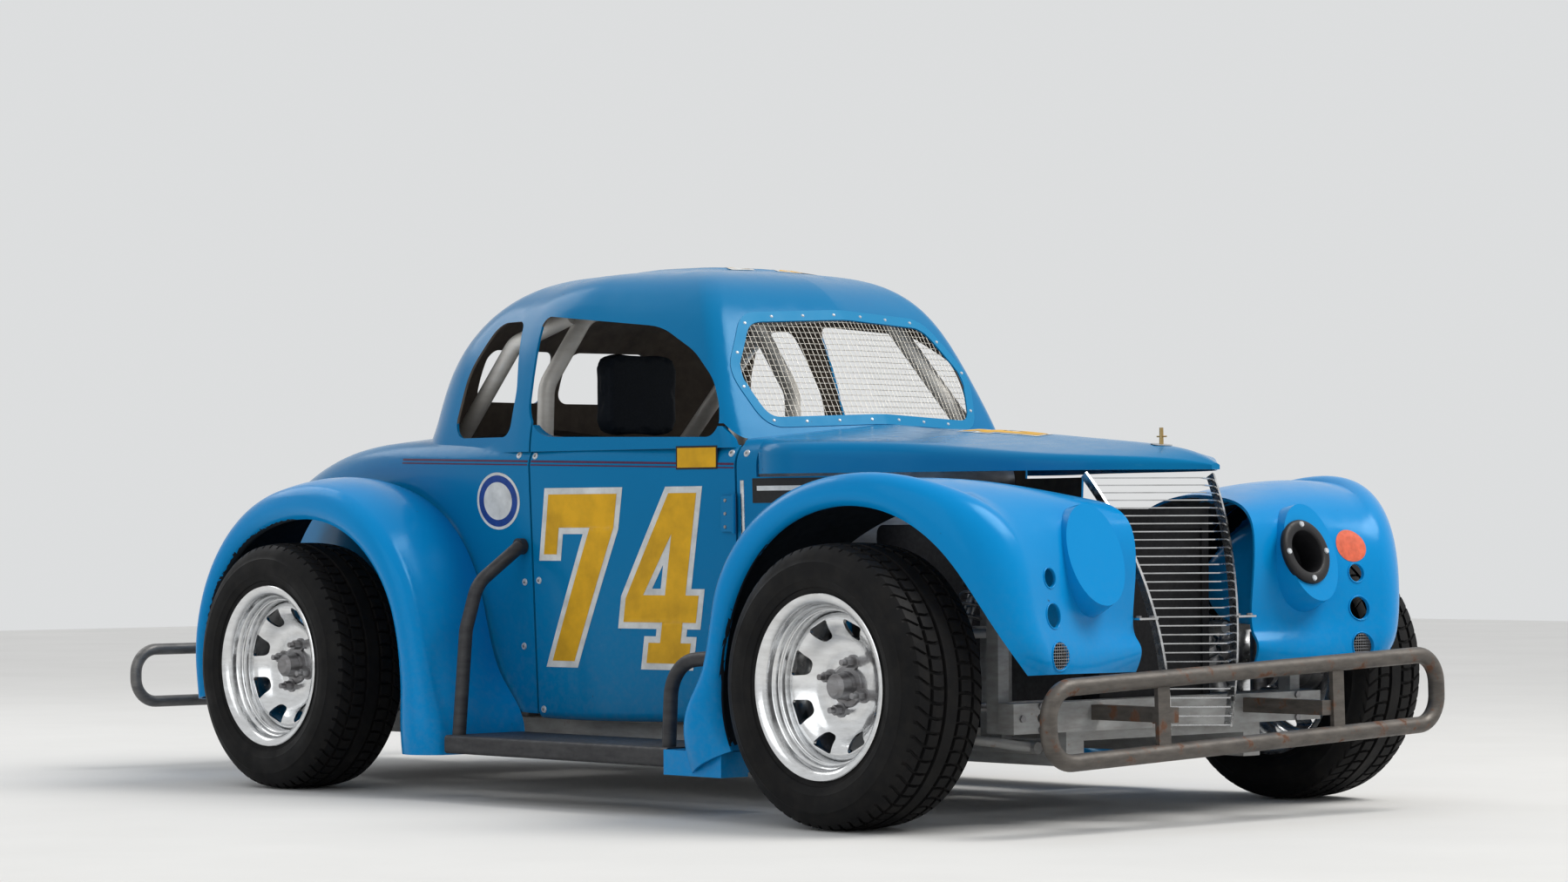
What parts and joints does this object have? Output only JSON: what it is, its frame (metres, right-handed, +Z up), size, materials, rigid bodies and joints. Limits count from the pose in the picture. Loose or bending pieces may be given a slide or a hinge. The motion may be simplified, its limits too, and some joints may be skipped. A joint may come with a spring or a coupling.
{
  "type": "small oval-track stock car",
  "caption": "Small oval-track racing car with an old-style coupe body, open fenders over wide tyres, tube bumpers and a roll cage; doors, hood, tail lid and steering move.",
  "frame": {"origin": "on the ground under the middle of the car's length and width", "axes": "+X forward, +Y to the car's left, +Z up"},
  "size_m": [3.214, 1.524, 1.172],
  "materials": {
    "shell_blue": "gloss gelcoat, scuffed",
    "fender_blue": "gloss gelcoat, scuffed",
    "mesh": "painted flange with wire mesh",
    "cage_grey": "painted steel tube",
    "frame_grey": "painted steel",
    "black_steel": "satin black",
    "rusty_steel": "worn dark paint with rust",
    "bright_chrome": "polished",
    "sheet_aluminium": "brushed sheet",
    "cast_block": "dark casting",
    "axle_steel": "machined steel",
    "spring_steel": "coil and damper",
    "seat_pad": "black padded cover",
    "tyre": "moulded rubber"
  },
  "bodies": {
    "chassis": {"body_shell": "shell_blue", "front_fender_left": "fender_blue", "front_fender_right": "fender_blue", "rear_fender_left": "fender_blue", "rear_fender_right": "fender_blue", "windscreen": "mesh", "running_board_left": "black_steel", "running_board_right": "black_steel", "side_bars": "black_steel", "grille": "bright_chrome", "radiator": "black_steel", "frame": "frame_grey", "roll_cage": "cage_grey", "floor_pan": "sheet_aluminium", "firewall": "sheet_aluminium", "dashboard": "sheet_aluminium", "seat": "seat_pad", "headrest": "seat_pad", "engine": "cast_block", "exhaust": "axle_steel", "fuel_cell": "rusty_steel", "rear_axle": "axle_steel", "rear_links": "axle_steel", "front_springs": "spring_steel", "rear_springs": "spring_steel", "wishbones": "axle_steel", "rack_clamps": "black_steel", "front_bumper": "rusty_steel", "rear_bumper": "rusty_steel"},
    "door_left": {"door_left": "shell_blue"},
    "door_right": {"door_right": "shell_blue"},
    "hood": {"hood": "fender_blue"},
    "deck_lid": {"deck_lid": "shell_blue"},
    "steering_wheel": {"steering_wheel": "black_steel"},
    "knuckle_left": {"knuckle_left": "axle_steel"},
    "knuckle_right": {"knuckle_right": "axle_steel"},
    "steering_rack": {"steering_rack": "axle_steel"},
    "wheel_front_left": {"rim_front_left": "bright_chrome", "tyre_front_left": "tyre"},
    "wheel_front_right": {"rim_front_right": "bright_chrome", "tyre_front_right": "tyre"},
    "wheel_rear_left": {"rim_rear_left": "bright_chrome", "tyre_rear_left": "tyre"},
    "wheel_rear_right": {"rim_rear_right": "bright_chrome", "tyre_rear_right": "tyre"}
  },
  "joints": [
    {"name": "steer_left", "type": "hinge", "parent": "chassis", "child": "knuckle_left", "pos_m": [1.137, 0.535, 0.28], "axis": [0, 0, 1], "range_deg": [-20, 20]},
    {"name": "steer_right", "type": "hinge", "parent": "chassis", "child": "knuckle_right", "pos_m": [1.137, -0.535, 0.28], "axis": [0, 0, 1], "range_deg": [-20, 20]},
    {"name": "rack_slide", "type": "slide", "parent": "chassis", "child": "steering_rack", "axis": [0, 1, 0], "range_m": [-0.04, 0.04]},
    {"name": "steering_wheel_turn", "type": "hinge", "parent": "chassis", "child": "steering_wheel", "pos_m": [0.127, 0, 0.66], "axis": [-0.9781, 0, 0.2079], "range_deg": [-165, 165]},
    {"name": "door_left_hinge", "type": "hinge", "parent": "chassis", "child": "door_left", "pos_m": [0.517, 0.42, 0.6], "axis": [0, 0, 1], "range_deg": [-65, 0]},
    {"name": "door_right_hinge", "type": "hinge", "parent": "chassis", "child": "door_right", "pos_m": [0.517, -0.42, 0.6], "axis": [0, 0, 1], "range_deg": [0, 65]},
    {"name": "hood_hinge", "type": "hinge", "parent": "chassis", "child": "hood", "pos_m": [0.575, 0, 0.82], "axis": [0, -1, 0], "range_deg": [0, 60]},
    {"name": "deck_lid_hinge", "type": "hinge", "parent": "chassis", "child": "deck_lid", "pos_m": [-0.746, 0, 0.836], "axis": [0, 1, 0], "range_deg": [0, 60]},
    {"name": "wheel_front_left_spin", "type": "hinge", "parent": "knuckle_left", "child": "wheel_front_left", "pos_m": [1.137, 0.6595, 0.28], "axis": [0, 1, 0], "continuous": true},
    {"name": "wheel_front_right_spin", "type": "hinge", "parent": "knuckle_right", "child": "wheel_front_right", "pos_m": [1.137, -0.6595, 0.28], "axis": [0, 1, 0], "continuous": true},
    {"name": "wheel_rear_left_spin", "type": "hinge", "parent": "chassis", "child": "wheel_rear_left", "pos_m": [-0.717, 0.6595, 0.28], "axis": [0, 1, 0], "continuous": true},
    {"name": "wheel_rear_right_spin", "type": "hinge", "parent": "chassis", "child": "wheel_rear_right", "pos_m": [-0.717, -0.6595, 0.28], "axis": [0, 1, 0], "continuous": true}
  ],
  "couplings": [
    {"joint": "steer_left", "follows": "steer_right", "ratio": 1},
    {"joint": "rack_slide", "follows": "steer_right", "m_per_rad": 0.098},
    {"joint": "steering_wheel_turn", "follows": "steer_right", "ratio": 8}
  ]
}
